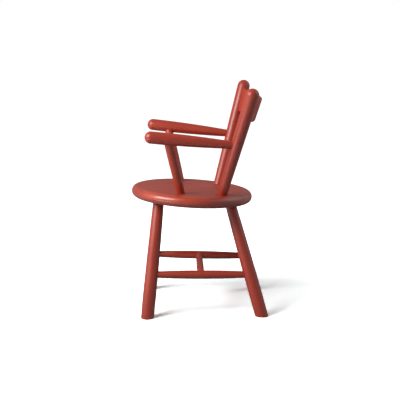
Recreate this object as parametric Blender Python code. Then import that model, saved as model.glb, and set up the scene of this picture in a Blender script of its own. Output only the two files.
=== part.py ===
# A child-size armchair of turned and painted wood: a round seat on four splayed legs that an H of
# stretchers braces, two back posts that lean back and outwards with a bent rail between them, and
# round arms that run from the back posts to leaning arm posts.
# Sizes are in metres. +X is the sitter's left, -Y is the front and the floor is z = 0.

import math

import bmesh
import bpy
from mathutils import Matrix, Vector

for old in list(bpy.data.objects):
    bpy.data.objects.remove(old)

# Clearance between a bar and its socket, all round and at the bottom
JOINT_GAP = 0.0003

# Seat. Its height is that of the top at the centre, and the front edge is the higher one.
# A socket's middle lies inset from the seat's rim, at an angle round the seat from its front
SEAT_HEIGHT = 0.280
SEAT_DIAMETER = 0.284
SEAT_THICKNESS = 0.0255
SEAT_TILT = math.radians(3.4)
SEAT_SOCKET_DEPTH = 0.017

# Legs. Feet are measured on the floor from under the seat's centre
FRONT_FOOT_SIDE = 0.132
FRONT_FOOT_FORWARD = 0.105
FRONT_LEG_INSET = 0.0444
FRONT_LEG_ANGLE = math.radians(37.9)
REAR_FOOT_SIDE = 0.1215
REAR_FOOT_BACK = 0.1575
REAR_LEG_INSET = 0.0375
REAR_LEG_ANGLE = math.radians(148.9)
LEG_FOOT_DIAMETER = 0.0297
LEG_MIDDLE_DIAMETER = 0.0294
LEG_TOP_DIAMETER = 0.0243
FOOT_CHAMFER = 0.0015

# Stretchers. The cross stretcher joins the middles of the two side stretchers
SIDE_STRETCHER_FRONT_HEIGHT = 0.0952
SIDE_STRETCHER_REAR_HEIGHT = 0.0918
SIDE_STRETCHER_END_DIAMETER = 0.0143
SIDE_STRETCHER_MIDDLE_DIAMETER = 0.0197
STRETCHER_PAST_LEG_AXIS = 0.003
CROSS_STRETCHER_END_DIAMETER = 0.0140
CROSS_STRETCHER_MIDDLE_DIAMETER = 0.0168
CROSS_TENON_DIAMETER = 0.0100
CROSS_TENON_PAST_AXIS = 0.003

# Back posts, to the middle of their domed tops
BACK_POST_INSET = 0.035
BACK_POST_ANGLE = math.radians(128.1)
BACK_POST_TOP_SIDE = 0.150
BACK_POST_TOP_BACK = 0.1297
BACK_POST_TOP_HEIGHT = 0.5086
BACK_POST_BASE_DIAMETER = 0.0241
BACK_POST_MIDDLE_DIAMETER = 0.0273
BACK_POST_TOP_DIAMETER = 0.0304

# Back rail: a board bent to an arc, let into the back posts and pinned there. Its middle line
# meets the posts' axes this far below the middle of their domed tops
RAIL_BELOW_POST_TOP = 0.0316
RAIL_WIDTH = 0.057
RAIL_THICKNESS = 0.012
RAIL_EDGE_ROUND = 0.0045
RAIL_BOW = 0.029
RAIL_LEAN = math.radians(18.2)
RAIL_PAST_POST_AXIS = 0.007
PEG_DIAMETER = 0.006
PEG_PAST_RAIL = 0.004
PEG_SINK = 0.0003

# Arms, to the middle of their domed front ends, which stand in from over the seat's rim
ARM_FRONT_INSET = 0.005
ARM_FRONT_FORWARD = 0.094
ARM_FRONT_HEIGHT = 0.415
ARM_REAR_HEIGHT = 0.3941
ARM_FRONT_DIAMETER = 0.0276
ARM_MIDDLE_DIAMETER = 0.0252
ARM_REAR_DIAMETER = 0.0158
ARM_PAST_POST_AXIS = 0.003

# Arm posts
ARM_POST_INSET = 0.0461
ARM_POST_ANGLE = math.radians(73.6)
ARM_POST_TOP_FORWARD = 0.0574
ARM_POST_END_DIAMETER = 0.0182
ARM_POST_MIDDLE_DIAMETER = 0.0202
ARM_POST_PAST_ARM_AXIS = 0.002

# Sides, with the sign of their x
SIDES = (("left", 1), ("right", -1))

# Facets
THICK_BAR_SIDES = 32
THIN_BAR_SIDES = 24
PEG_SIDES = 12
SEAT_SIDES = 72
BAR_RINGS = 8
SOCKET_RINGS = 2
DOME_RINGS = 5
ROUNDING_STEPS = 8
CORNER_STEPS = 4
RAIL_STEPS = 24
SLOT_STEPS = 4

# Paint
PAINT_COLOUR = (0.402, 0.051, 0.029, 1.0)
PAINT_ROUGHNESS = 0.42


class Bar:
    """A straight turned bar: its axis, and its diameters at the start, middle and end of it."""

    def __init__(self, start, end, diameters, sides):
        self.start = Vector(start)
        self.end = Vector(end)
        self.length = (self.end - self.start).length
        self.direction = (self.end - self.start).normalized()
        self.diameters = diameters
        self.sides = sides

    def radius(self, distance):
        """The radius on the parabola through the three diameters."""
        t = distance / self.length
        first, middle, last = self.diameters
        curve = first * (1 - t) * (1 - 2 * t) + 4 * middle * t * (1 - t) + last * t * (2 * t - 1)
        return curve / 2

    def point(self, distance):
        return self.start + self.direction * distance

    def distance_at(self, axis, value):
        """How far along the bar its axis has this coordinate."""
        return (value - self.start[axis]) / self.direction[axis]

    def frame(self):
        """The bar's own frame, with its origin at the start and +Z along the bar."""
        turn = self.direction.to_track_quat("Z", "Y").to_matrix().to_4x4()
        return Matrix.Translation(self.start) @ turn


def painted(name):
    material = bpy.data.materials.new(name + "_paint")
    material.use_nodes = True
    shader = material.node_tree.nodes["Principled BSDF"]
    shader.inputs["Base Color"].default_value = PAINT_COLOUR
    shader.inputs["Roughness"].default_value = PAINT_ROUGHNESS
    shader.inputs["Metallic"].default_value = 0.0
    return material


def add_object(name, bm, frame, cutter=False):
    """Turns the bmesh into an object in this frame: a painted piece, or a hidden cutter."""
    bmesh.ops.recalc_face_normals(bm, faces=bm.faces)
    mesh = bpy.data.meshes.new(name)
    bm.to_mesh(mesh)
    bm.free()
    piece = bpy.data.objects.new(name, mesh)
    piece.matrix_world = frame
    bpy.context.scene.collection.objects.link(piece)
    if cutter:
        piece.hide_render = True
        piece.display_type = "WIRE"
    else:
        mesh.materials.append(painted(name))
        mesh.shade_smooth()
        mesh.set_sharp_from_angle(angle=math.radians(40))
    return piece


def combine(piece, other, operation="DIFFERENCE"):
    modifier = piece.modifiers.new(other.name, "BOOLEAN")
    modifier.operation = operation
    modifier.object = other
    modifier.solver = "EXACT"


def revolved(profile, sides):
    """A closed mesh turned about Z from a profile of (radius, height) points."""
    bm = bmesh.new()
    points = [bm.verts.new((radius, 0, height)) for radius, height in profile]
    edges = [bm.edges.new(pair) for pair in zip(points, points[1:])]
    profile_edges = points + edges
    bmesh.ops.spin(bm, geom=profile_edges, cent=(0, 0, 0), axis=(0, 0, 1), angle=math.tau, steps=sides)
    bmesh.ops.remove_doubles(bm, verts=bm.verts, dist=1e-6)
    rims = [edge for edge in bm.edges if edge.is_boundary]
    if rims:
        bmesh.ops.holes_fill(bm, edges=rims)
    return bm


def bar_profile(bar, first, last, rings, grow=0.0):
    """Profile of the bar between two distances along it, thicker all round by grow."""
    steps = [first + (last - first) * ring / rings for ring in range(rings + 1)]
    return [(bar.radius(distance) + grow, distance) for distance in steps]


def dome(centre, radius, outwards):
    """Profile of a half-round end on the bar's axis, from its rim to its tip."""
    angles = [math.pi / 2 * ring / DOME_RINGS for ring in range(1, DOME_RINGS + 1)]
    points = [(radius * math.cos(a), centre + outwards * radius * math.sin(a)) for a in angles]
    points[-1] = (0.0, points[-1][1])
    return points


def make_bar(name, bar, first, last, dome_first=False, dome_last=False):
    profile = bar_profile(bar, first, last, BAR_RINGS)
    if dome_first:
        profile = dome(first, bar.radius(first), -1)[::-1] + profile
    if dome_last:
        profile = profile + dome(last, bar.radius(last), 1)
    return add_object(name, revolved(profile, bar.sides), bar.frame())


def cut_flat(bm, point, outwards):
    """Cuts off what lies beyond a plane, closes the cut and returns its face in a list."""
    everything = bm.verts[:] + bm.edges[:] + bm.faces[:]
    bmesh.ops.bisect_plane(bm, geom=everything, plane_co=point, plane_no=outwards, clear_outer=True)
    rim = [edge for edge in bm.edges if edge.is_boundary]
    return bmesh.ops.holes_fill(bm, edges=rim)["faces"]


def bore(piece, bar, first, last):
    """Cuts the bar's socket into the piece, between two distances along the bar."""
    name = f"{piece.name}_socket_{len(piece.modifiers)}"
    bm = revolved(bar_profile(bar, first, last, SOCKET_RINGS, JOINT_GAP), bar.sides)
    combine(piece, add_object(name, bm, bar.frame(), cutter=True))


def socket_place(side, inset, angle, under=0.0):
    """Where a socket opens in the seat's own frame: on its top, or this far below it."""
    reach = SEAT_DIAMETER / 2 - inset
    return Vector((side * reach * math.sin(angle), -reach * math.cos(angle), -under))


def seat_centre_y():
    """Where the seat's centre stands for the middle of the chair's depth to be at y = 0."""
    edge = SEAT_THICKNESS / 2
    rim = SEAT_DIAMETER / 2 - edge
    front = rim * math.cos(SEAT_TILT) + edge * math.sin(SEAT_TILT) + edge
    socket = seat_tilt @ socket_place(1, REAR_LEG_INSET, REAR_LEG_ANGLE, SEAT_THICKNESS)
    rake = (REAR_FOOT_BACK - socket.y) / (SEAT_HEIGHT + socket.z)
    back = REAR_FOOT_BACK + LEG_FOOT_DIAMETER / 2 * math.hypot(1, rake) - FOOT_CHAMFER * rake
    return (front - back) / 2


def make_seat():
    """A round disc with a half-round edge."""
    edge = SEAT_THICKNESS / 2
    profile = []
    for step in range(ROUNDING_STEPS + 1):
        angle = math.pi * step / ROUNDING_STEPS - math.pi / 2
        radius = SEAT_DIAMETER / 2 - edge + edge * math.cos(angle)
        profile.append((radius, edge * math.sin(angle) - edge))
    return add_object("seat", revolved(profile, SEAT_SIDES), seat_frame)


def trim_foot(piece):
    """Cuts the leg flat where its axis starts, on the floor, and eases the edge of the cut."""
    down = piece.matrix_world.inverted().to_3x3() @ Vector((0, 0, -1))
    bm = bmesh.new()
    bm.from_mesh(piece.data)
    sole = cut_flat(bm, Vector((0, 0, 0)), down)
    rim = [edge for face in sole for edge in face.edges]
    bmesh.ops.bevel(bm, geom=rim, offset=FOOT_CHAMFER, affect="EDGES")
    bmesh.ops.recalc_face_normals(bm, faces=bm.faces)
    bm.to_mesh(piece.data)
    bm.free()


def make_leg(name, foot, socket):
    """Returns the leg and its bar, which runs from the floor to its socket's mouth."""
    diameters = (LEG_FOOT_DIAMETER, LEG_MIDDLE_DIAMETER, LEG_TOP_DIAMETER)
    bar = Bar(foot, socket, diameters, THICK_BAR_SIDES)
    leg = make_bar(name, bar, -LEG_FOOT_DIAMETER, bar.length + SEAT_SOCKET_DEPTH)
    trim_foot(leg)
    bore(seat, bar, bar.length - LEG_TOP_DIAMETER, bar.length + SEAT_SOCKET_DEPTH + JOINT_GAP)
    return leg, bar


def make_side_stretcher(name, front_leg, front_bar, rear_leg, rear_bar):
    front = front_bar.point(front_bar.distance_at(2, SIDE_STRETCHER_FRONT_HEIGHT))
    rear = rear_bar.point(rear_bar.distance_at(2, SIDE_STRETCHER_REAR_HEIGHT))
    end = SIDE_STRETCHER_END_DIAMETER
    bar = Bar(front, rear, (end, SIDE_STRETCHER_MIDDLE_DIAMETER, end), THIN_BAR_SIDES)
    past = STRETCHER_PAST_LEG_AXIS
    stretcher = make_bar(name, bar, -past, bar.length + past)
    bore(front_leg, bar, -past - JOINT_GAP, LEG_FOOT_DIAMETER)
    bore(rear_leg, bar, bar.length - LEG_FOOT_DIAMETER, bar.length + past + JOINT_GAP)
    return stretcher, bar


def make_cross_stretcher(left, left_bar, right, right_bar):
    """A bar with shoulders that fit round the side stretchers, and a thinner tenon at each end."""
    middle = left_bar.length / 2
    ends = left_bar.point(middle), right_bar.point(middle)
    end = CROSS_STRETCHER_END_DIAMETER
    bar = Bar(*ends, (end, CROSS_STRETCHER_MIDDLE_DIAMETER, end), THIN_BAR_SIDES)
    cross = make_bar("cross_stretcher", bar, 0, bar.length)
    for side in (left_bar, right_bar):
        reach = CROSS_STRETCHER_MIDDLE_DIAMETER
        profile = bar_profile(side, middle - reach, middle + reach, SOCKET_RINGS, JOINT_GAP)
        shoulder = revolved(profile, side.sides)
        combine(cross, add_object("cross_shoulder", shoulder, side.frame(), cutter=True))
    core = Bar(*ends, (CROSS_TENON_DIAMETER,) * 3, THIN_BAR_SIDES)
    past = CROSS_TENON_PAST_AXIS
    rod = revolved(bar_profile(core, -past, core.length + past, 1), core.sides)
    combine(cross, add_object("cross_tenon", rod, core.frame(), cutter=True), "UNION")
    reach = SIDE_STRETCHER_MIDDLE_DIAMETER
    bore(left, core, -past - JOINT_GAP, reach)
    bore(right, core, core.length - reach, core.length + past + JOINT_GAP)


def make_back_post(name, side):
    foot = seat_frame @ socket_place(side, BACK_POST_INSET, BACK_POST_ANGLE)
    top = Vector((side * BACK_POST_TOP_SIDE, seat_y + BACK_POST_TOP_BACK, BACK_POST_TOP_HEIGHT))
    diameters = (BACK_POST_BASE_DIAMETER, BACK_POST_MIDDLE_DIAMETER, BACK_POST_TOP_DIAMETER)
    bar = Bar(foot, top, diameters, THICK_BAR_SIDES)
    post = make_bar(name, bar, -SEAT_SOCKET_DEPTH, bar.length, dome_last=True)
    bore(seat, bar, -SEAT_SOCKET_DEPTH - JOINT_GAP, BACK_POST_BASE_DIAMETER)
    return post, bar


def make_arm(name, side, post, post_bar):
    front_side = SEAT_DIAMETER / 2 - ARM_FRONT_INSET
    front = Vector((side * front_side, seat_y - ARM_FRONT_FORWARD, ARM_FRONT_HEIGHT))
    rear = post_bar.point(post_bar.distance_at(2, ARM_REAR_HEIGHT))
    diameters = (ARM_FRONT_DIAMETER, ARM_MIDDLE_DIAMETER, ARM_REAR_DIAMETER)
    bar = Bar(front, rear, diameters, THICK_BAR_SIDES)
    end = bar.length + ARM_PAST_POST_AXIS
    arm = make_bar(name, bar, 0, end, dome_first=True)
    bore(post, bar, bar.length - BACK_POST_TOP_DIAMETER, end + JOINT_GAP)
    return arm, bar


def make_arm_post(name, side, arm, arm_bar):
    foot = seat_frame @ socket_place(side, ARM_POST_INSET, ARM_POST_ANGLE)
    top = arm_bar.point(arm_bar.distance_at(1, seat_y - ARM_POST_TOP_FORWARD))
    end = ARM_POST_END_DIAMETER
    bar = Bar(foot, top, (end, ARM_POST_MIDDLE_DIAMETER, end), THIN_BAR_SIDES)
    last = bar.length + ARM_POST_PAST_ARM_AXIS
    make_bar(name, bar, -SEAT_SOCKET_DEPTH, last)
    bore(seat, bar, -SEAT_SOCKET_DEPTH - JOINT_GAP, ARM_POST_END_DIAMETER)
    bore(arm, bar, bar.length - ARM_FRONT_DIAMETER, last + JOINT_GAP)


def rail_section(grow):
    """Corner-rounded outline of the board, as (across its thickness, along its width) points."""
    corner = RAIL_EDGE_ROUND + grow
    half_thick = RAIL_THICKNESS / 2 + grow - corner
    half_wide = RAIL_WIDTH / 2 + grow - corner
    outline = []
    for quarter, (across, along) in enumerate(((1, 1), (-1, 1), (-1, -1), (1, -1))):
        for step in range(CORNER_STEPS + 1):
            angle = math.pi / 2 * (quarter + step / CORNER_STEPS)
            thick = across * half_thick + corner * math.cos(angle)
            wide = along * half_wide + corner * math.sin(angle)
            outline.append((thick, wide))
    return outline


def bent_board(radius, first, last, steps, grow=0.0):
    """The board's section swept round the bend, between two angles from the chair's middle."""
    bm = bmesh.new()
    outwards = Vector((math.sin(first), math.cos(first), 0))
    corners = [
        bm.verts.new(outwards * (radius + across) + Vector((0, 0, along)))
        for across, along in rail_section(grow)
    ]
    board = [bm.faces.new(corners)]
    bmesh.ops.spin(bm, geom=board, cent=(0, 0, 0), axis=(0, 0, 1), angle=first - last, steps=steps)
    return bm


def make_back_rail(posts):
    """A board on an arc through the axes of the two posts, let into them and pinned at each end."""
    height = BACK_POST_TOP_HEIGHT - RAIL_BELOW_POST_TOP
    crossings = {}
    for name, (post, post_bar) in posts.items():
        crossings[name] = post_bar.point(post_bar.distance_at(2, height))
    span_end = crossings["left"]
    radius = (span_end.x**2 + RAIL_BOW**2) / (2 * RAIL_BOW)
    half_angle = math.asin(span_end.x / radius)
    lean = Matrix.Rotation(-RAIL_LEAN, 4, "X")
    back = lean.to_3x3() @ Vector((0, 1, 0))
    frame = Matrix.Translation(Vector((0, span_end.y, span_end.z)) + back * (RAIL_BOW - radius)) @ lean
    to_local = frame.inverted()

    # The ends are trimmed parallel to the posts, so the board starts longer than that needs
    untrimmed = half_angle + RAIL_WIDTH / 2 / radius
    inside = half_angle - BACK_POST_TOP_DIAMETER / radius
    board = bent_board(radius, -untrimmed, untrimmed, RAIL_STEPS)
    drill = []
    for name, side in SIDES:
        post, post_bar = posts[name]
        across = Vector((side * math.sin(half_angle), math.cos(half_angle), 0))
        along_post = to_local.to_3x3() @ post_bar.direction
        outwards = side * across.cross(along_post).normalized()
        crossing = to_local @ crossings[name]
        cut_flat(board, crossing + outwards * RAIL_PAST_POST_AXIS, outwards)
        slot = bent_board(radius, side * inside, side * untrimmed, SLOT_STEPS, JOINT_GAP)
        cut_flat(slot, crossing + outwards * (RAIL_PAST_POST_AXIS + JOINT_GAP), outwards)
        combine(post, add_object(f"{name}_rail_slot", slot, frame, cutter=True))
        drill.append((name, crossings[name], frame.to_3x3() @ across, post, post_bar))
    rail = add_object("back_rail", board, frame)
    for name, crossing, across, post, post_bar in drill:
        make_peg(f"rail_peg_{name}", crossing, across, post, post_bar, rail)


def make_peg(name, crossing, across, post, post_bar, rail):
    """A pin driven from the back of the post through the end of the rail."""
    inner = crossing - across * (RAIL_THICKNESS / 2 + PEG_PAST_RAIL)
    post_radius = post_bar.radius(post_bar.distance_at(2, crossing.z))
    outer = crossing + across * (post_radius - PEG_SINK)
    bar = Bar(inner, outer, (PEG_DIAMETER,) * 3, PEG_SIDES)
    make_bar(name, bar, 0, bar.length)
    bore(post, bar, -JOINT_GAP, bar.length + PEG_DIAMETER)
    bore(rail, bar, -JOINT_GAP, bar.length + PEG_DIAMETER)


seat_tilt = Matrix.Rotation(-SEAT_TILT, 4, "X")
seat_y = seat_centre_y()
seat_frame = Matrix.Translation((0, seat_y, SEAT_HEIGHT)) @ seat_tilt
seat = make_seat()

stretchers = {}
posts = {}
for side_name, side_sign in SIDES:
    front_leg, front_bar = make_leg(
        f"front_leg_{side_name}",
        Vector((side_sign * FRONT_FOOT_SIDE, seat_y - FRONT_FOOT_FORWARD, 0)),
        seat_frame @ socket_place(side_sign, FRONT_LEG_INSET, FRONT_LEG_ANGLE, SEAT_THICKNESS),
    )
    rear_leg, rear_bar = make_leg(
        f"rear_leg_{side_name}",
        Vector((side_sign * REAR_FOOT_SIDE, seat_y + REAR_FOOT_BACK, 0)),
        seat_frame @ socket_place(side_sign, REAR_LEG_INSET, REAR_LEG_ANGLE, SEAT_THICKNESS),
    )
    stretchers[side_name] = make_side_stretcher(
        f"side_stretcher_{side_name}", front_leg, front_bar, rear_leg, rear_bar
    )
    posts[side_name] = make_back_post(f"back_post_{side_name}", side_sign)
    arm, arm_bar = make_arm(f"arm_{side_name}", side_sign, *posts[side_name])
    make_arm_post(f"arm_post_{side_name}", side_sign, arm, arm_bar)

make_cross_stretcher(*stretchers["left"], *stretchers["right"])
make_back_rail(posts)
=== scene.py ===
# A child's armchair of turned wood in satin red paint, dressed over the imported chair.
# Metres throughout: +X is the sitter's left, -Y is the front, and the floor is z = 0.
import math

import bpy
from mathutils import Matrix, Vector


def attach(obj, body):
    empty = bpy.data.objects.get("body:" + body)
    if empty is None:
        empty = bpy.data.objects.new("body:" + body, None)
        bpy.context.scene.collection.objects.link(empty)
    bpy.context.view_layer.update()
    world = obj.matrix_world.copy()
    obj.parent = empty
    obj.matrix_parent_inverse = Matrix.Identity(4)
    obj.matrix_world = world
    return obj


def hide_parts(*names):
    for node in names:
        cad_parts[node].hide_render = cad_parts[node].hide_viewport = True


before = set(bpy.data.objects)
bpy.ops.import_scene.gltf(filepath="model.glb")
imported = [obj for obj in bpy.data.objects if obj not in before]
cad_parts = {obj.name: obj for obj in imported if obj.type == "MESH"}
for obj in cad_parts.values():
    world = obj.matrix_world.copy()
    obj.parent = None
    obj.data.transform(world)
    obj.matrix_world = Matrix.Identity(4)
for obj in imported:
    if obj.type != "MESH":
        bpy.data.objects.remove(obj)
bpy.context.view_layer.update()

levelFace = 0.999         # a face lies level where its normal's z, up or down, is more than this


# Everything is let go before a new piece, because an operator acts on all that is selected
def letGo():
    if bpy.context.mode != "OBJECT":
        bpy.ops.object.mode_set(mode="OBJECT")
    bpy.ops.object.select_all(action="DESELECT")


def takeUp(piece):
    letGo()
    bpy.context.view_layer.objects.active = piece
    piece.select_set(True)


def openMesh(picked="DESELECT"):
    bpy.ops.object.mode_set(mode="EDIT")
    bpy.ops.mesh.select_all(action=picked)


def nameIt(piece, name):
    piece.name = name
    piece.data.name = name


# Selects the faces that a test picks, with the mesh open
def pickFaces(piece, test):
    bpy.ops.mesh.select_mode(type="FACE")
    bpy.ops.mesh.select_all(action="DESELECT")
    bpy.ops.object.mode_set(mode="OBJECT")
    for face in piece.data.polygons:
        face.select = test(face)
    bpy.ops.object.mode_set(mode="EDIT")


# Closes up an open mesh. Edges that turn by more than so many degrees stay sharp
def tidyMesh(piece, sharpFrom=35):
    bpy.ops.mesh.select_all(action="SELECT")
    bpy.ops.mesh.remove_doubles(threshold=1e-6)
    bpy.ops.mesh.normals_make_consistent(inside=False)
    bpy.ops.object.mode_set(mode="OBJECT")
    takeUp(piece)
    bpy.ops.object.shade_smooth_by_angle(angle=math.radians(sharpFrom))


# Turns a bar that stands on Z from rings of (height, radius). A last radius of 0 is a point
def turnOnLathe(name, rings, sides):
    letGo()
    height, radius = rings[0]
    bpy.ops.mesh.primitive_circle_add(vertices=sides, radius=radius, location=(0, 0, height))
    bar = bpy.context.object
    nameIt(bar, name)
    bpy.ops.object.transform_apply(location=True, rotation=True, scale=True)
    openMesh("SELECT")
    for (low, thick), (high, thin) in zip(rings, rings[1:]):
        bpy.ops.mesh.extrude_edges_move(TRANSFORM_OT_translate={"value": (0, 0, high - low)})
        if thin > 0:
            pinch = thin / thick
            bpy.ops.transform.resize(value=(pinch, pinch, 1), center_override=(0, 0, high))
        else:
            bpy.ops.mesh.merge(type="CENTER")
    bpy.ops.mesh.select_mode(type="EDGE")
    bpy.ops.mesh.select_all(action="DESELECT")
    bpy.ops.mesh.select_non_manifold()
    bpy.ops.mesh.edge_face_add()
    tidyMesh(bar)
    return bar


# Radius on the curve through a bar's thickness at its start, middle and end
def radiusAt(thick, t):
    first, middle, last = thick
    return (first * (1 - t) * (1 - 2 * t) + 4 * middle * t * (1 - t) + last * t * (2 * t - 1)) / 2


# Rings of a bar from one length along it to another, closed by a half round where it has dome steps
def barRings(thick, length, first, last, steps, domeSteps):
    lengths = [first + (last - first) * step / steps for step in range(steps + 1)]
    rings = [(along, radiusAt(thick, along / length)) for along in lengths]
    radius = rings[-1][1]
    for step in range(1, domeSteps):
        angle = math.pi / 2 * step / domeSteps
        rings.append((last + radius * math.sin(angle), radius * math.cos(angle)))
    if domeSteps:
        rings.append((last + radius, 0))
    return rings


# The place of a bar whose length starts at one point and runs to another
def placeAlong(start, end):
    turn = (end - start).to_track_quat("Z", "Y").to_matrix().to_4x4()
    return Matrix.Translation(start) @ turn


def putInPlace(piece, place):
    takeUp(piece)
    piece.matrix_world = place
    bpy.ops.object.transform_apply(location=True, rotation=True, scale=True)


# Turns a bar between two points on its axis. It runs on past them by the lengths before and after
def turnBar(name, start, end, sizes, before=0.0, after=0.0):
    length = (end - start).length
    rings = barRings(sizes["thick"], length, -before, length + after, sizes["rings"], sizes["domeSteps"])
    bar = turnOnLathe(name, rings, sizes["sides"])
    place = placeAlong(start, end)
    putInPlace(bar, place)
    return bar, place


# Each piece's grain starts somewhere else, so that no two pieces look alike
def grainStep(shift):
    return Vector((shift, 2 * shift, 3 * shift))


# Keeps each point's place in its own board or bar, with the grain along Z, for the paint to follow
def markGrain(piece, rule, shift):
    grain = piece.data.attributes.new("grain", "FLOAT_VECTOR", "POINT")
    values = []
    for point in piece.data.vertices:
        values.extend(rule(point.co) + grainStep(shift))
    grain.data.foreach_set("vector", values)


def alongBar(place):
    back = place.inverted()
    return lambda co: back @ co


# Keeps how much each point gets rubbed in use, from 0 to 1. On the seat's rim, the arms' front ends and the
# posts' tops the rubbed paint is also a painted highlight
def markWearAndHighlight(piece, rule):
    wear = piece.data.attributes.new("wear", "FLOAT", "POINT")
    wear.data.foreach_set("value", [rule(point.co) for point in piece.data.vertices])


def noWear(co):
    return 0.0


# Fades from 0 to 1 as a value goes from one number to the other
def fade(value, none, full):
    t = min(max((value - none) / (full - none), 0), 1)
    return t * t * (3 - 2 * t)


# The right-hand twin of a left-hand piece, with a mesh of its own
def twin(piece, shift):
    takeUp(piece)
    bpy.ops.object.duplicate(linked=False)
    other = bpy.context.object
    nameIt(other, piece.name.replace("Left", "Right"))
    openMesh("SELECT")
    bpy.ops.transform.resize(value=(-1, 1, 1), center_override=(0, 0, 0))
    tidyMesh(other)
    for value in other.data.attributes["grain"].data:
        value.vector = value.vector + grainStep(shift)
    return other


# Dresses a piece: paint, the chair's body and the node that it stands for
def dress(piece, paint, node):
    piece.data.materials.clear()
    piece.data.materials.append(paint)
    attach(piece, "root")
    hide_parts(node)


# Finishes a left-hand piece, and makes and finishes its twin. The second grain shift is the twin's
def dressPair(piece, paint, node, grain, wear, grainShifts):
    markGrain(piece, grain, grainShifts[0])
    markWearAndHighlight(piece, wear)
    other = twin(piece, grainShifts[1])
    dress(piece, paint, node + "_left")
    dress(other, paint, node + "_right")


print("paint")
# Streaks are given by their width, their length along the grain and how finely they break up
paintLook = {
    "red": (0.395, 0.029, 0.009),
    "thinRed": (0.425, 0.038, 0.012),
    "deepRed": (0.34, 0.017, 0.006),
    "clouds": (0.022, 0.060, 3.0),        # between red and thin red
    "cloudRange": (0.35, 0.68),
    "strokes": (0.0022, 0.055, 3.0),      # of the brush, in deep red
    "strokeRange": (0.60, 0.80),
    "strokeShow": 0.22,
    "pores": (0.0009, 0.030, 2.0),        # of the wood, in deep red
    "poreRange": (0.66, 0.76),
    "poreShow": 0.3,
    # Lighter worn paint, which on the seat's rim, the arms' front ends and the posts' tops is also a
    # painted highlight
    "rubbedAndHighlightTo": (0.49, 0.050, 0.013),
    "rubbedBlotch": 0.007,
    "rubbedAmount": 0.72,
    "rubbedSmoother": 0.06,
    "roughness": (0.31, 0.42),            # follows the clouds
    "roughRange": (0.3, 0.7),
    "glancingDull": 0.5,                  # satin paint loses its shine towards the edges of a round bar
    "glancingPower": 2.0,
    "gloss": 0.60,
    "ridges": (0.006, 0.09, 1.0),         # under the paint
    "bumpStrength": 0.12,
    "bumpDepth": 0.00025,                 # the next four are shares of it
    "strokeHigh": 0.5,
    "ridgeHigh": 0.5,
    "poreDeep": 0.5,
    "rubbedDeep": 0.6,
    "poreDips": (0.66, 0.78),
}
# The seat's red is a little darker than the bars' as painted shade, holding down its top, which the lamps
# light from above; it also has broader strokes and more gloss
seatLookWithPaintedShade = {
    **paintLook,
    "red": (0.305, 0.024, 0.007),
    "thinRed": (0.325, 0.029, 0.009),
    "strokes": (0.004, 0.055, 3.0),
    "strokeShow": 0.12,
    "glancingDull": 0.42,
    "gloss": 0.70,
}


def newGroup(name, inputs, outputs):
    group = bpy.data.node_groups.new(name, "ShaderNodeTree")
    for label, kind, value in inputs:
        socket = group.interface.new_socket(label, in_out="INPUT", socket_type=kind)
        if value is not None:
            socket.default_value = value
    for label, kind in outputs:
        group.interface.new_socket(label, in_out="OUTPUT", socket_type=kind)
    return group, group.nodes.new("NodeGroupInput"), group.nodes.new("NodeGroupOutput")


def addNode(tree, kind, **settings):
    node = tree.nodes.new(kind)
    for label, value in settings.items():
        setattr(node, label, value)
    return node


def joinUp(tree, source, target):
    tree.links.new(source, target)


# Puts a number or colour on a socket, or joins another node's output to it
def feed(tree, value, socket):
    if isinstance(value, bpy.types.NodeSocket):
        joinUp(tree, value, socket)
    else:
        socket.default_value = value


def mathNode(tree, operation, first, second):
    node = addNode(tree, "ShaderNodeMath", operation=operation)
    feed(tree, first, node.inputs[0])
    feed(tree, second, node.inputs[1])
    return node.outputs[0]


def rangeNode(tree, value, low, high, toLow=0.0, toHigh=1.0):
    node = addNode(tree, "ShaderNodeMapRange", interpolation_type="SMOOTHSTEP")
    joinUp(tree, value, node.inputs["Value"])
    for label, number in (("From Min", low), ("From Max", high), ("To Min", toLow), ("To Max", toHigh)):
        node.inputs[label].default_value = number
    return node.outputs[0]


def mixColours(tree, amount, first, second):
    node = addNode(tree, "ShaderNodeMix", data_type="RGBA")
    joinUp(tree, amount, node.inputs[0])
    feed(tree, first, node.inputs[6])
    feed(tree, second, node.inputs[7])
    return node.outputs[2]


def placeGroup(tree, group, **values):
    node = addNode(tree, "ShaderNodeGroup", node_tree=group)
    for label, value in values.items():
        feed(tree, value, node.inputs[label])
    return node.outputs[0]


# Noise drawn out along the grain: marks so wide and so long
def makeStreaks():
    inputs = (("Grain", "NodeSocketVector", None), ("Width", "NodeSocketFloat", 0.002),
              ("Length", "NodeSocketFloat", 0.05), ("Detail", "NodeSocketFloat", 2.0))
    group, given, result = newGroup("streaksAlongGrain", inputs, (("Streaks", "NodeSocketFloat"),))
    size = addNode(group, "ShaderNodeCombineXYZ")
    joinUp(group, given.outputs["Width"], size.inputs[0])
    joinUp(group, given.outputs["Width"], size.inputs[1])
    joinUp(group, given.outputs["Length"], size.inputs[2])
    stretched = addNode(group, "ShaderNodeVectorMath", operation="DIVIDE")
    joinUp(group, given.outputs["Grain"], stretched.inputs[0])
    joinUp(group, size.outputs[0], stretched.inputs[1])
    noise = addNode(group, "ShaderNodeTexNoise")
    noise.inputs["Scale"].default_value = 1.0
    joinUp(group, stretched.outputs[0], noise.inputs["Vector"])
    joinUp(group, given.outputs["Detail"], noise.inputs["Detail"])
    joinUp(group, noise.outputs["Fac"], result.inputs["Streaks"])
    return group


rubbedLook = {
    "detail": 6.0,
    "roughness": 0.65,
    "range": (-0.25, 0.28),       # of wear and blotches together, over which the paint gets rubbed
}
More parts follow.
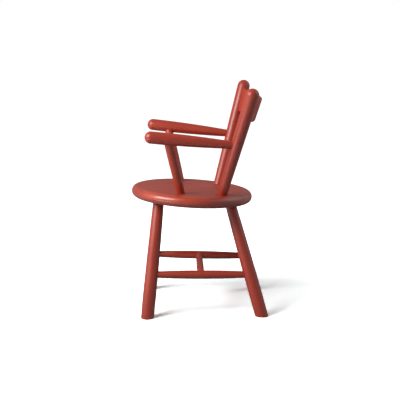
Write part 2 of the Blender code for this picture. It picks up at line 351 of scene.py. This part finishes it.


# Where use has rubbed the paint: the marked wear, broken up by blotches. On the seat's rim, the arms' front
# ends and the posts' tops its lighter colour is also a painted highlight
def makeRubbed(look):
    inputs = (("Grain", "NodeSocketVector", None), ("Wear", "NodeSocketFloat", 0.0),
              ("Blotch", "NodeSocketFloat", 0.006), ("Amount", "NodeSocketFloat", 0.5))
    group, given, result = newGroup("rubbedAndHighlitPaint", inputs, (("RubbedAndHighlit", "NodeSocketFloat"),))
    scale = mathNode(group, "DIVIDE", 1.0, given.outputs["Blotch"])
    noise = addNode(group, "ShaderNodeTexNoise")
    noise.inputs["Detail"].default_value = look["detail"]
    noise.inputs["Roughness"].default_value = look["roughness"]
    joinUp(group, given.outputs["Grain"], noise.inputs["Vector"])
    joinUp(group, scale, noise.inputs["Scale"])
    worn = mathNode(group, "MULTIPLY", given.outputs["Wear"], given.outputs["Amount"])
    bared = mathNode(group, "SUBTRACT", mathNode(group, "ADD", worn, noise.outputs["Fac"]), 1.0)
    joinUp(group, rangeNode(group, bared, *look["range"]), result.inputs["RubbedAndHighlit"])
    return group


streaksAlongGrain = makeStreaks()
rubbedAndHighlitPaint = makeRubbed(rubbedLook)


def placeStreaks(tree, grain, streaks):
    width, length, detail = streaks
    return placeGroup(tree, streaksAlongGrain, Grain=grain, Width=width, Length=length, Detail=detail)


# Satin paint brushed along the grain, over wood whose pores still show a little
def mixPaint(name, look):
    paint = bpy.data.materials.new(name)
    paint.use_nodes = True
    tree = paint.node_tree
    shader = tree.nodes["Principled BSDF"]
    grain = addNode(tree, "ShaderNodeAttribute", attribute_name="grain").outputs["Vector"]
    wear = addNode(tree, "ShaderNodeAttribute", attribute_name="wear").outputs["Fac"]
    clouds = placeStreaks(tree, grain, look["clouds"])
    strokes = placeStreaks(tree, grain, look["strokes"])
    pores = placeStreaks(tree, grain, look["pores"])
    ridges = placeStreaks(tree, grain, look["ridges"])
    # The rubbed mask marks worn paint, and on the seat's rim, arm ends and post tops also a painted
    # highlight
    rubbed = placeGroup(tree, rubbedAndHighlitPaint, Grain=grain, Wear=wear, Blotch=look["rubbedBlotch"],
                        Amount=look["rubbedAmount"])

    thin = rangeNode(tree, clouds, *look["cloudRange"])
    brushed = rangeNode(tree, strokes, *look["strokeRange"], 0.0, look["strokeShow"])
    pored = rangeNode(tree, pores, *look["poreRange"], 0.0, look["poreShow"])
    tone = mixColours(tree, thin, (*look["red"], 1), (*look["thinRed"], 1))
    tone = mixColours(tree, brushed, tone, (*look["deepRed"], 1))
    tone = mixColours(tree, pored, tone, (*look["deepRed"], 1))
    # Rubbed paint turns a lighter orange: worn paint, and a painted highlight where the wear lies on the
    # seat's rim, arm ends and post tops
    tone = mixColours(tree, rubbed, tone, (*look["rubbedAndHighlightTo"], 1))
    joinUp(tree, tone, shader.inputs["Base Color"])

    dull = rangeNode(tree, clouds, *look["roughRange"], *look["roughness"])
    dull = mathNode(tree, "SUBTRACT", dull, mathNode(tree, "MULTIPLY", rubbed, look["rubbedSmoother"]))
    facing = addNode(tree, "ShaderNodeLayerWeight").outputs["Facing"]
    glancing = mathNode(tree, "POWER", facing, look["glancingPower"])
    glancing = mathNode(tree, "MULTIPLY", glancing, look["glancingDull"])
    joinUp(tree, mathNode(tree, "ADD", dull, glancing), shader.inputs["Roughness"])
    shader.inputs["Specular IOR Level"].default_value = look["gloss"]

    dips = rangeNode(tree, pores, *look["poreDips"], 0.0, look["poreDeep"])
    height = mathNode(tree, "MULTIPLY", strokes, look["strokeHigh"])
    height = mathNode(tree, "ADD", height, mathNode(tree, "MULTIPLY", ridges, look["ridgeHigh"]))
    height = mathNode(tree, "SUBTRACT", height, dips)
    height = mathNode(tree, "SUBTRACT", height, mathNode(tree, "MULTIPLY", rubbed, look["rubbedDeep"]))
    bump = addNode(tree, "ShaderNodeBump")
    bump.inputs["Strength"].default_value = look["bumpStrength"]
    bump.inputs["Distance"].default_value = look["bumpDepth"]
    joinUp(tree, height, bump.inputs["Height"])
    joinUp(tree, bump.outputs["Normal"], shader.inputs["Normal"])
    return paint


satinRed = mixPaint("satinRed", paintLook)
# The seat's paint is the bars' paint darkened as painted shade
seatRedWithPaintedShade = mixPaint("seatRedWithPaintedShade", seatLookWithPaintedShade)


print("seat")
seatSizes = {
    "centre": Vector((0, -0.014986, 0.280)),   # middle of the flat top
    "tilt": 3.4,                               # degrees, front edge up
    "across": 0.28396,
    "thick": 0.0255,
    "rounded": 0.996,                          # share of the half thickness that the edge's curve takes
    "sides": 144,
    "edgeSteps": 14,
    "rings": 5,
    "ringWide": 0.02,
    "sharpFrom": 30,
    "grainShift": 0.0,
    # The rim's rubbed paint is also a painted highlight on its upper edge, fading in from the back and held
    # back at the very front
    "worn": 0.95,
    "wornReach": (0.116, 0.138),               # from the middle, over which the rim gets rubbed
    "wornHeight": (-0.022, -0.012),            # from the top, because the underside isn't rubbed
    "wornForward": (-0.09, 0.02),              # over which the wear grows from the back
    "wornAtBack": 0.25,
    "sparedForward": (0.098, 0.138),           # between the knees, where the paint lasts
    "spared": 0.65,
}


def shapeSeat(sizes):
    letGo()
    half = sizes["thick"] / 2
    bpy.ops.mesh.primitive_cylinder_add(vertices=sizes["sides"], radius=sizes["across"] / 2,
                                        depth=sizes["thick"], location=(0, 0, -half))
    seat = bpy.context.object
    nameIt(seat, "seatBoard")
    bpy.ops.object.transform_apply(location=True, rotation=True, scale=True)
    openMesh()
    pickFaces(seat, lambda face: abs(face.normal.z) > levelFace)
    bpy.ops.mesh.bevel(offset=half * sizes["rounded"], offset_type="OFFSET", segments=sizes["edgeSteps"],
                       profile=0.5, affect="EDGES")
    pickFaces(seat, lambda face: abs(face.normal.z) > levelFace)
    for ring in range(sizes["rings"]):
        bpy.ops.mesh.inset(thickness=sizes["ringWide"])
    bpy.ops.mesh.poke()
    tidyMesh(seat, sizes["sharpFrom"])
    return seat


seatTilt = Matrix.Rotation(-math.radians(seatSizes["tilt"]), 4, "X")
seatPlace = Matrix.Translation(seatSizes["centre"]) @ seatTilt
seat = shapeSeat(seatSizes)
putInPlace(seat, seatPlace)


# Rubbed paint round the rim's upper edge, which is also a painted highlight there
def seatRimWearAndHighlight(co):
    inBoard = seatPlace.inverted() @ co
    reach = math.hypot(inBoard.x, inBoard.y)
    rim = fade(reach, *seatSizes["wornReach"]) * fade(inBoard.z, *seatSizes["wornHeight"])
    atBack = seatSizes["wornAtBack"]
    forward = atBack + (1 - atBack) * fade(-inBoard.y, *seatSizes["wornForward"])
    spared = seatSizes["spared"] * fade(-inBoard.y, *seatSizes["sparedForward"])
    return seatSizes["worn"] * rim * forward * (1 - spared)


# The board's grain runs from front to back, so the paint's Z is turned to lie along Y
boardPlace = seatPlace @ Matrix.Rotation(math.radians(90), 4, "X")
markGrain(seat, alongBar(boardPlace), seatSizes["grainShift"])
markWearAndHighlight(seat, seatRimWearAndHighlight)
dress(seat, seatRedWithPaintedShade, "seat")


print("legs")
legSizes = {
    "thick": (0.02965, 0.0294, 0.0243),   # across at the foot, the middle and the seat
    "frontFoot": Vector((0.132, -0.119986, 0)),
    "frontTop": Vector((0.05995, -0.09338, 0.25911)),
    "rearFoot": Vector((0.1215, 0.142514, 0)),
    "rearTop": Vector((0.05398, 0.07282, 0.24924)),
    "belowFloor": 0.0297,                 # turned too long, and cut off level with the floor
    "cutHeight": 0.00002,                 # a hair above it
    "intoSeat": 0.017,
    "footEase": 0.0015,
    "footEaseSteps": 3,
    "rings": 26,
    "domeSteps": 0,
    "sides": 64,
    "frontGrainShifts": (0.4, 0.37),
    "rearGrainShifts": (1.3, 0.37),
    "worn": 0.95,
    "wornHeight": (0.0008, 0.009),        # over which the wear of the foot fades out
}


def turnLeg(name, foot, top, sizes):
    leg, place = turnBar(name, foot, top, sizes, sizes["belowFloor"], sizes["intoSeat"])
    openMesh("SELECT")
    bpy.ops.mesh.bisect(plane_co=(0, 0, sizes["cutHeight"]), plane_no=(0, 0, 1), use_fill=True,
                        clear_inner=True)
    pickFaces(leg, lambda face: face.normal.z < -levelFace)
    bpy.ops.mesh.bevel(offset=sizes["footEase"], offset_type="OFFSET", segments=sizes["footEaseSteps"],
                       affect="EDGES")
    tidyMesh(leg)
    return leg, place


def legWear(co):
    return legSizes["worn"] * (1 - fade(co.z, *legSizes["wornHeight"]))


for pair in ("front", "rear"):
    leg, place = turnLeg(pair + "LegLeft", legSizes[pair + "Foot"], legSizes[pair + "Top"], legSizes)
    dressPair(leg, satinRed, pair + "_leg", alongBar(place), legWear, legSizes[pair + "GrainShifts"])


print("stretchers")
sideStretcherSizes = {
    "thick": (0.0143, 0.0197, 0.0143),
    "front": Vector((0.10553, -0.11021, 0.0952)),
    "rear": Vector((0.09663, 0.11685, 0.0918)),
    "pastAxis": 0.003,
    "rings": 30,
    "domeSteps": 0,
    "sides": 56,
    "grainShifts": (2.2, 0.53),
}
crossStretcherSizes = {
    "thick": (0.0140, 0.0168, 0.0140),
    "left": Vector((0.1011, 0.0033, 0.0935)),
    "right": Vector((-0.1011, 0.0033, 0.0935)),
    "rings": 30,
    "domeSteps": 0,
    "sides": 56,
    "grainShift": 3.1,
}

sideStretcher, place = turnBar("sideStretcherLeft", sideStretcherSizes["front"], sideStretcherSizes["rear"],
                               sideStretcherSizes, sideStretcherSizes["pastAxis"],
                               sideStretcherSizes["pastAxis"])
dressPair(sideStretcher, satinRed, "side_stretcher", alongBar(place), noWear,
          sideStretcherSizes["grainShifts"])

crossStretcher, place = turnBar("crossStretcher", crossStretcherSizes["right"],
                                crossStretcherSizes["left"], crossStretcherSizes)
markGrain(crossStretcher, alongBar(place), crossStretcherSizes["grainShift"])
markWearAndHighlight(crossStretcher, noWear)
dress(crossStretcher, satinRed, "cross_stretcher")


print("back posts")
backPostSizes = {
    "thick": (0.0241, 0.0273, 0.03034),
    "base": Vector((0.0842, 0.05092, 0.27608)),
    "top": Vector((0.150, 0.114714, 0.5086)),      # middle of the domed top
    "intoSeat": 0.017,
    "rings": 26,
    "domeSteps": 12,
    "sides": 64,
    "grainShifts": (4.6, 0.71),
    "worn": 0.75,
    "wornHeight": (0.512, 0.523),
}


# Rubbed paint on the domed top, which is also a painted highlight there
def postTopWearAndHighlight(co):
    return backPostSizes["worn"] * fade(co.z, *backPostSizes["wornHeight"])


backPost, place = turnBar("backPostLeft", backPostSizes["base"], backPostSizes["top"], backPostSizes,
                          backPostSizes["intoSeat"])
dressPair(backPost, satinRed, "back_post", alongBar(place), postTopWearAndHighlight, backPostSizes["grainShifts"])


print("arms")
armSizes = {
    "thick": (0.0158, 0.0252, 0.0276),             # from the back post to the front
    "rear": Vector((0.1176, 0.0833, 0.3941)),
    "front": Vector((0.137, -0.108986, 0.415)),     # middle of the domed front
    "pastAxis": 0.003,
    "rings": 26,
    "domeSteps": 12,
    "sides": 64,
    "grainShifts": (5.2, 0.29),
    "worn": 0.7,
    "wornForward": (0.100, 0.121),
    "wornHeight": (0.405, 0.425),
}


# Rubbed paint on top of the front end, which is also a painted highlight on the dome
def armTipWearAndHighlight(co):
    onTop = fade(co.z, *armSizes["wornHeight"])
    return armSizes["worn"] * fade(-co.y, *armSizes["wornForward"]) * onTop


arm, place = turnBar("armLeft", armSizes["rear"], armSizes["front"], armSizes, armSizes["pastAxis"])
dressPair(arm, satinRed, "arm", alongBar(place), armTipWearAndHighlight, armSizes["grainShifts"])

armPostSizes = {
    "thick": (0.0182, 0.0202, 0.0182),
    "base": Vector((0.0920, -0.04201, 0.28161)),
    "top": Vector((0.13331, -0.07239, 0.41102)),    # on the arm's axis
    "intoSeat": 0.017,
    "intoArm": 0.002,
    "rings": 20,
    "domeSteps": 0,
    "sides": 56,
    "grainShifts": (6.4, 0.83),
}

armPost, place = turnBar("armPostLeft", armPostSizes["base"], armPostSizes["top"], armPostSizes,
                         armPostSizes["intoSeat"], armPostSizes["intoArm"])
dressPair(armPost, satinRed, "arm_post", alongBar(place), noWear, armPostSizes["grainShifts"])


print("back rail")
railSizes = {
    "wide": 0.057,
    "thick": 0.012,
    "corner": 0.0045,
    "cornerSteps": 8,
    "bow": 0.029,                                   # from the line between the posts to the bend
    "lean": 18.2,                                   # degrees, top edge back
    "crossing": Vector((0.14106, 0.10604, 0.4770)),  # the rail's middle on the left post's axis
    "pastAxis": 0.007,
    "steps": 96,
    "grainShift": 7.7,
    "worn": 0.6,
    "wornBelowEdge": (0.006, 0.001),                # under the top edge, over which the wear grows
    "wornSideways": (0.08, 0.13),                   # from the middle, over which it fades out
}


def bendRail(sizes):
    crossing = sizes["crossing"]
    radius = (crossing.x**2 + sizes["bow"]**2) / (2 * sizes["bow"])
    half = math.asin(crossing.x / radius)
    reach = half + sizes["wide"] / 2 / radius
    lean = Matrix.Rotation(-math.radians(sizes["lean"]), 4, "X")
    back = lean.to_3x3() @ Vector((0, 1, 0))
    middle = Vector((0, crossing.y, crossing.z)) + back * (sizes["bow"] - radius)
    place = Matrix.Translation(middle) @ lean

    # The board's section stands at the left end of the bend, and is spun round to the right end
    letGo()
    bpy.ops.mesh.primitive_plane_add(size=1, rotation=(0, math.radians(90), -reach),
                                     location=(radius * math.sin(reach), radius * math.cos(reach), 0))
    rail = bpy.context.object
    nameIt(rail, "backRail")
    rail.scale = (sizes["wide"], sizes["thick"], 1)
    bpy.ops.object.transform_apply(location=True, rotation=True, scale=True)
    openMesh("SELECT")
    bpy.ops.mesh.bevel(offset=sizes["corner"], offset_type="OFFSET", segments=sizes["cornerSteps"],
                       affect="VERTICES")
    bpy.ops.mesh.select_all(action="SELECT")
    bpy.ops.mesh.spin(steps=sizes["steps"], angle=-2 * reach, center=(0, 0, 0), axis=(0, 0, 1))
    tidyMesh(rail)
    putInPlace(rail, place)

    # Both ends are trimmed parallel to the posts, just past the middle of them
    across = place.to_3x3() @ Vector((math.sin(half), math.cos(half), 0))
    alongPost = (backPostSizes["top"] - backPostSizes["base"]).normalized()
    outwards = across.cross(alongPost).normalized()
    trim = crossing + outwards * sizes["pastAxis"]
    openMesh()
    for side in (1, -1):
        bpy.ops.mesh.select_all(action="SELECT")
        bpy.ops.mesh.bisect(plane_co=(side * trim.x, trim.y, trim.z), use_fill=True, clear_outer=True,
                            plane_no=(side * outwards.x, outwards.y, outwards.z))
    tidyMesh(rail)
    return rail, place, radius, across


rail, railPlace, bend, railAcross = bendRail(railSizes)


# Along the board for Z, round the bend
def railGrain(co):
    spot = railPlace.inverted() @ co
    return Vector((math.hypot(spot.x, spot.y) - bend, spot.z, bend * math.atan2(spot.x, spot.y)))


def railWear(co):
    spot = railPlace.inverted() @ co
    low, high = railSizes["wornBelowEdge"]
    edge = fade(spot.z, railSizes["wide"] / 2 - low, railSizes["wide"] / 2 - high)
    return railSizes["worn"] * edge * (1 - fade(abs(co.x), *railSizes["wornSideways"]))


markGrain(rail, railGrain, railSizes["grainShift"])
markWearAndHighlight(rail, railWear)
dress(rail, satinRed, "back_rail")

pegSizes = {
    "across": 0.006,
    "inFrontOfRail": 0.004,
    "proud": 0.0002,
    # How far each ring of the outer end is past the pin's length, and its share of the radius
    "end": ((-0.0008, 1), (-0.0004, 0.96), (-0.0001, 0.86), (0, 0.55), (0.0001, 0)),
    "sides": 32,
    "grainShifts": (8.3, 0.44),
}


# The pin starts in front of the rail, inside the post, and ends just proud of the post's rear side
def turnPeg(sizes):
    across = railAcross.normalized()
    post = backPostSizes
    length = (post["top"] - post["base"]).length
    along = (railSizes["crossing"] - post["base"]).length
    start = railSizes["crossing"] - across * (railSizes["thick"] / 2 + sizes["inFrontOfRail"])
    end = railSizes["crossing"] + across * (radiusAt(post["thick"], along / length) + sizes["proud"])
    reach = (end - start).length
    radius = sizes["across"] / 2
    rings = [(0, radius)] + [(reach + past, radius * share) for past, share in sizes["end"]]
    peg = turnOnLathe("railPegLeft", rings, sizes["sides"])
    place = placeAlong(start, end)
    putInPlace(peg, place)
    return peg, place


peg, place = turnPeg(pegSizes)
dressPair(peg, satinRed, "rail_peg", alongBar(place), noWear, pegSizes["grainShifts"])


print("studio")
studio = {
    "floorWide": 60.0,
    "floorPale": 2.25,            # pale enough to come out white, with the chair's shadows kept
    "floorTint": (0.95, 1, 1),    # cool enough to take the chair's red light out of its shadow
    "floorInGloss": 1.05,
    "floorToChair": 0.12,
    "glossLift": (0.40, 1.7),     # metres from the chair over which the floor is lifted to white
    "cameraLift": (0.05, 0.66),
    "roomLight": 0.05,
    "roomInGloss": 0.70,
}
lights = {
    "window": {
        "place": Vector((0.65, -1.0, 1.06)),
        "aim": Vector((0, 0, 0.28)),
        "wide": 0.9,
        "high": 0.8,
        "power": 22.0,
    },
    "whiteCard": {                              # lies on the floor below the window
        "place": Vector((0.93, -1.03, 0.01)),
        "aim": Vector((0.93, -1.03, 1)),
        "wide": 1.0,
        "high": 0.7,
        "power": 7.5,
    },
    "low": {                                    # in front of the chair
        "place": Vector((0.22, -1.4, 0.45)),
        "aim": Vector((0, 0, 0.28)),
        "wide": 0.8,
        "high": 0.6,
        "power": 1.5,
    },
    "fill": {                                   # behind the chair
        "place": Vector((-0.3, 1.5, 1.30)),
        "aim": Vector((0, 0, 0.28)),
        "wide": 1.6,
        "high": 1.3,
        "power": 7.5,
    },
}


# 1 for rays straight from the camera
def cameraRays(tree):
    return addNode(tree, "ShaderNodeLightPath").outputs["Is Camera Ray"]


# 1 for rays from the camera and for those that gloss or glass sends on
def seenRays(tree):
    rays = addNode(tree, "ShaderNodeLightPath")
    seen = mathNode(tree, "MAXIMUM", rays.outputs["Is Camera Ray"], rays.outputs["Is Glossy Ray"])
    return mathNode(tree, "MAXIMUM", seen, rays.outputs["Is Transmission Ray"])


# Paper whose paleness depends on what sees it, and which turns to plain white away from the chair
def makePaper(look):
    paper = bpy.data.materials.new("floorPaper")
    paper.use_nodes = True
    tree = paper.node_tree
    tree.nodes.remove(tree.nodes["Principled BSDF"])
    seen = seenRays(tree)
    direct = cameraRays(tree)
    morePale = mathNode(tree, "MULTIPLY", direct, look["floorPale"] - look["floorInGloss"])
    pale = mathNode(tree, "MULTIPLY", seen, look["floorInGloss"] - look["floorToChair"])
    pale = mathNode(tree, "ADD", pale, look["floorToChair"])
    pale = mathNode(tree, "ADD", pale, morePale)
    tinted = addNode(tree, "ShaderNodeVectorMath", operation="SCALE")
    tinted.inputs[0].default_value = look["floorTint"]
    joinUp(tree, pale, tinted.inputs["Scale"])
    matt = addNode(tree, "ShaderNodeBsdfDiffuse")
    joinUp(tree, tinted.outputs[0], matt.inputs["Color"])

    spot = addNode(tree, "ShaderNodeTexCoord")
    away = addNode(tree, "ShaderNodeVectorMath", operation="LENGTH")
    joinUp(tree, spot.outputs["Object"], away.inputs[0])
    glossLift = rangeNode(tree, away.outputs["Value"], *look["glossLift"], 0.0, look["roomInGloss"])
    cameraLift = rangeNode(tree, away.outputs["Value"], *look["cameraLift"])
    inGloss = mathNode(tree, "MULTIPLY", seen, glossLift)
    inCamera = mathNode(tree, "MULTIPLY", direct, cameraLift)
    glow = addNode(tree, "ShaderNodeEmission")
    joinUp(tree, mathNode(tree, "MAXIMUM", inGloss, inCamera), glow.inputs["Strength"])
    both = addNode(tree, "ShaderNodeAddShader")
    joinUp(tree, matt.outputs[0], both.inputs[0])
    joinUp(tree, glow.outputs[0], both.inputs[1])
    joinUp(tree, both.outputs[0], tree.nodes["Material Output"].inputs["Surface"])
    return paper


def layFloor(look):
    letGo()
    bpy.ops.mesh.primitive_plane_add(size=look["floorWide"], location=(0, 0, 0))
    floor = bpy.context.object
    nameIt(floor, "floor")
    floor.data.materials.append(makePaper(look))


# A white room that lights the chair a little, and shows brighter in its gloss and white to the camera
def makeRoom(look):
    room = bpy.data.worlds.new("room")
    room.use_nodes = True
    bpy.context.scene.world = room
    tree = room.node_tree
    background = tree.nodes["Background"]
    background.inputs["Color"].default_value = (1, 1, 1, 1)
    moreDirect = mathNode(tree, "MULTIPLY", cameraRays(tree), 1 - look["roomInGloss"])
    strength = mathNode(tree, "MULTIPLY", seenRays(tree), look["roomInGloss"] - look["roomLight"])
    strength = mathNode(tree, "ADD", strength, moreDirect)
    joinUp(tree, mathNode(tree, "ADD", strength, look["roomLight"]), background.inputs["Strength"])


def hangLight(name, light):
    bpy.ops.object.light_add(type="AREA", location=light["place"])
    lamp = bpy.context.object
    lamp.name = name
    lamp.data.shape = "RECTANGLE"
    lamp.data.size = light["wide"]
    lamp.data.size_y = light["high"]
    lamp.data.energy = light["power"]
    lamp.rotation_euler = (light["aim"] - light["place"]).to_track_quat("-Z", "Y").to_euler()


layFloor(studio)
makeRoom(studio)
for name, light in lights.items():
    hangLight(name, light)


print("camera")
cameraSet = {
    "place": Vector((2.46048, -0.05579, 0.68860)),
    "aim": Vector((0, 0.00342, 0.24981)),
    "lens": 95.0,
    "sensor": 36.0,
}
bpy.ops.object.camera_add(location=cameraSet["place"])
camera = bpy.context.object
camera.rotation_euler = (cameraSet["aim"] - cameraSet["place"]).to_track_quat("-Z", "Y").to_euler()
camera.data.lens = cameraSet["lens"]
camera.data.sensor_width = cameraSet["sensor"]
bpy.context.scene.camera = camera
bpy.context.scene.view_settings.view_transform = "Standard"

letGo()
